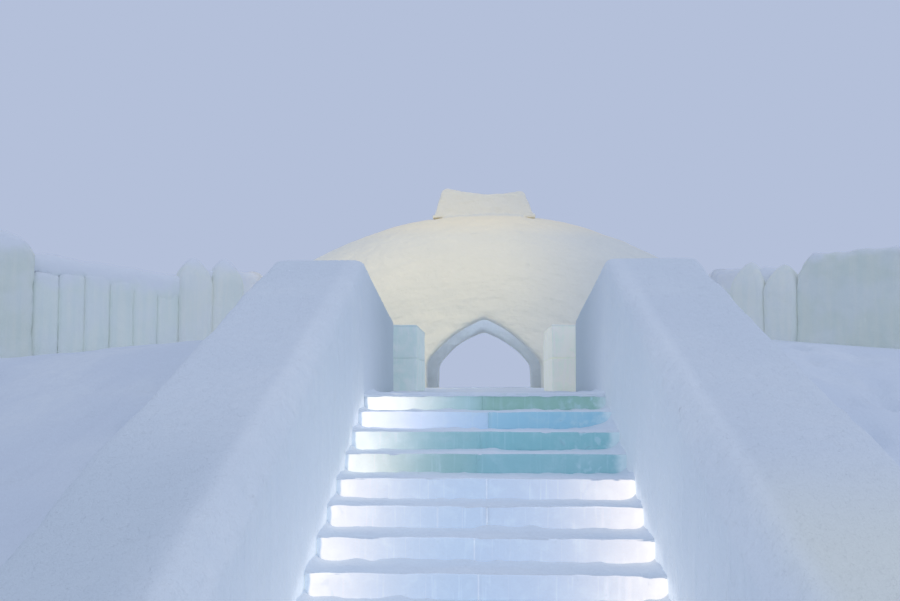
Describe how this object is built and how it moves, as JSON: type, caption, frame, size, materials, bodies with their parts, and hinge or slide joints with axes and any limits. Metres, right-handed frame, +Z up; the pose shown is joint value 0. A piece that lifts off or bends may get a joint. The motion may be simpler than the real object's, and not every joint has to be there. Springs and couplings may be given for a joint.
{
  "type": "snow igloo with an ice stair",
  "caption": "Broad snow dome with a pointed archway through it and a crown block, reached over a terrace and a walled flight of ice steps between snow banks and log palisades.",
  "frame": {"origin": "middle of the footprint, on the ground", "axes": "+Z up, +Y from the foot of the stair towards the dome, +X to the right as one climbs the stair"},
  "size_m": [20.3, 24.1628, 7.242],
  "materials": {
    "step_ice": "clear blue-green block ice, lit from within at the ends",
    "pier_ice": "cloudy greenish block ice",
    "packed_snow": "trodden packed snow",
    "wall_snow": "scraped packed snow with fine upright streaks",
    "bank_snow": "piled snow, soft and pitted",
    "log_snow": "moulded snow with a dusting on top",
    "dome_snow": "smoothed snow with faint curved trowel bands, warmly lit"
  },
  "bodies": {
    "root": {"ice_step_1": "step_ice", "ice_step_2": "step_ice", "ice_step_3": "step_ice", "ice_step_4": "step_ice", "ice_step_5": "step_ice", "ice_step_6": "step_ice", "ice_step_7": "step_ice", "ice_step_8": "step_ice", "ice_step_9": "step_ice", "stair_bed": "packed_snow", "left_wing_wall": "wall_snow", "right_wing_wall": "wall_snow", "terrace": "packed_snow", "hall_floor": "packed_snow", "left_pier_lower": "pier_ice", "left_pier_upper": "pier_ice", "right_pier_lower": "pier_ice", "right_pier_upper": "pier_ice", "left_bank": "bank_snow", "right_bank": "bank_snow", "left_gate_logs": "log_snow", "right_gate_logs": "log_snow", "left_palisade": "log_snow", "left_bastion": "log_snow", "right_bastion": "log_snow", "left_return_logs": "log_snow", "right_return_logs": "log_snow", "crown_block": "dome_snow", "front_arch_head": "dome_snow", "front_left_wall": "dome_snow", "front_left_end": "dome_snow", "front_right_wall": "dome_snow", "front_right_end": "dome_snow", "back_arch_head": "dome_snow", "back_left_wall": "dome_snow", "back_left_end": "dome_snow", "back_right_wall": "dome_snow", "back_right_end": "dome_snow"}
  },
  "joints": []
}
